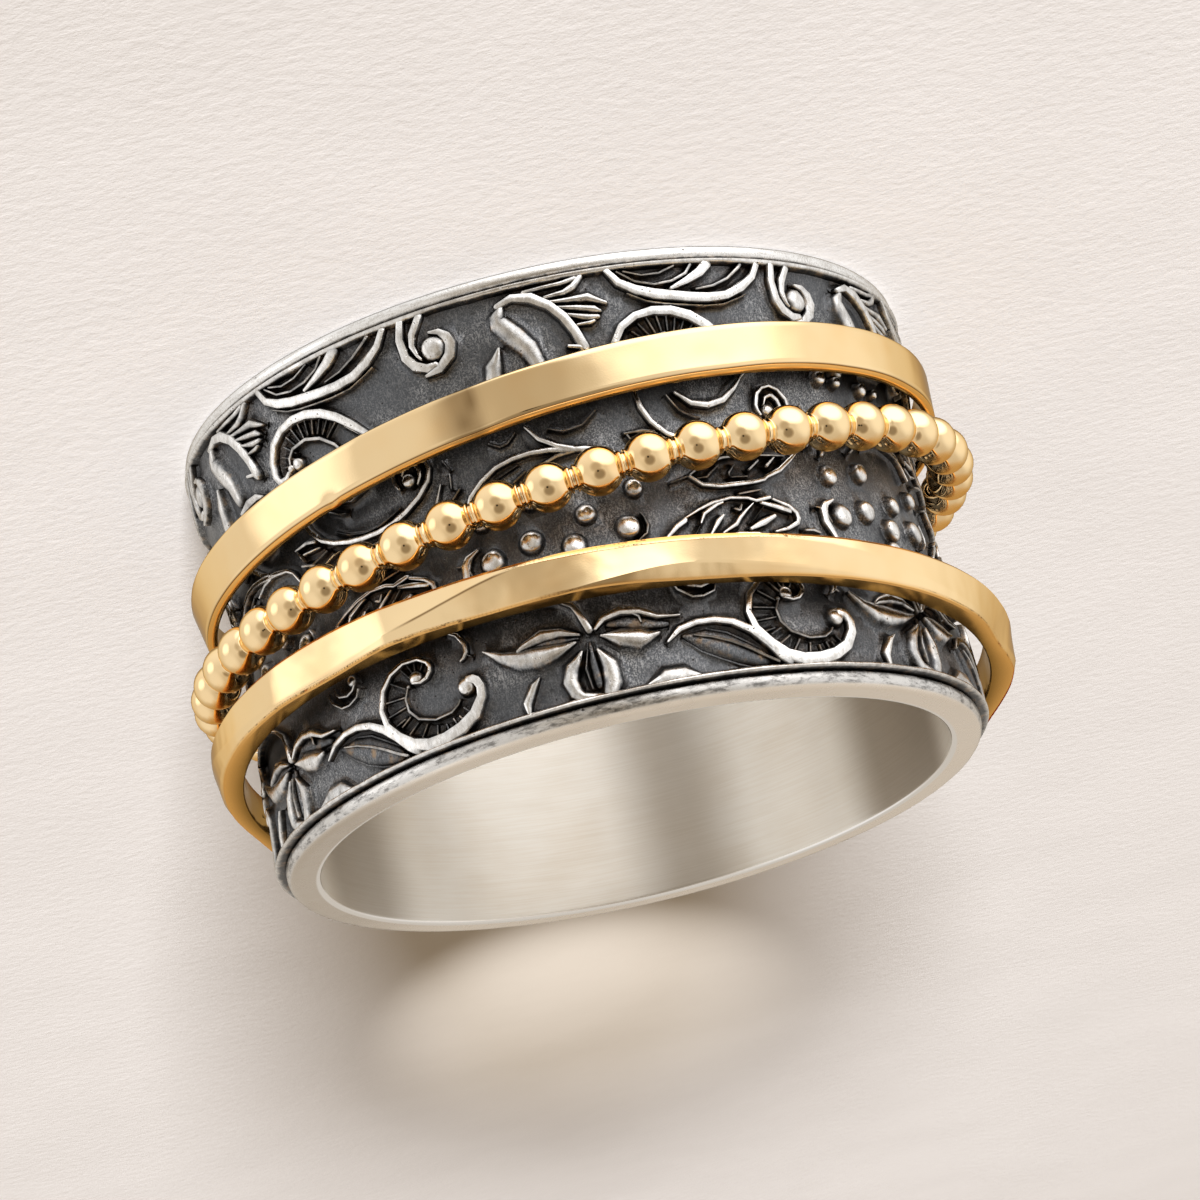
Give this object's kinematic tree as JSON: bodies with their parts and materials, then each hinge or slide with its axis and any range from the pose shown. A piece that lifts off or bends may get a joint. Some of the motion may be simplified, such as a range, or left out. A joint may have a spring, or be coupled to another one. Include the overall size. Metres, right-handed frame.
{
  "type": "statement spinner ring",
  "caption": "Wide finger ring: a plain liner in a dark silver sleeve with raised leaf and flower relief, carrying a flat, a beaded and a bevelled gold ring that turn freely.",
  "frame": {"origin": "middle of the wider rim, on which the ring stands", "axes": "+Z along the finger hole towards the narrower rim; -Y is the side that faces the camera"},
  "size_m": [0.0232, 0.0233, 0.0128],
  "materials": {
    "liner_silver": "satin silver, brushed round the bore",
    "oxidised_silver": "polished raised relief on a dark oxidised ground",
    "flat_gold": "polished, lightly hammered",
    "bead_gold": "polished",
    "bevel_gold": "polished, hammered bevels"
  },
  "bodies": {
    "band": {"liner": "liner_silver", "patterned_sleeve": "oxidised_silver"},
    "flat_ring": {"flat_spinner": "flat_gold"},
    "beaded_ring": {"beaded_spinner": "bead_gold"},
    "bevelled_ring": {"bevelled_spinner": "bevel_gold"}
  },
  "joints": [
    {"name": "flat_spin", "type": "hinge", "parent": "band", "child": "flat_ring", "pos_m": [0, 0, 0.00385], "axis": [-0.0802, -0.0122, 0.9967], "continuous": true},
    {"name": "beaded_spin", "type": "hinge", "parent": "band", "child": "beaded_ring", "pos_m": [0, 0, 0.00598], "axis": [-0.094, 0.0454, 0.9945], "continuous": true},
    {"name": "bevelled_spin", "type": "hinge", "parent": "band", "child": "bevelled_ring", "pos_m": [0, 0, 0.00996], "axis": [0.0522, -0.0785, 0.9956], "continuous": true}
  ]
}
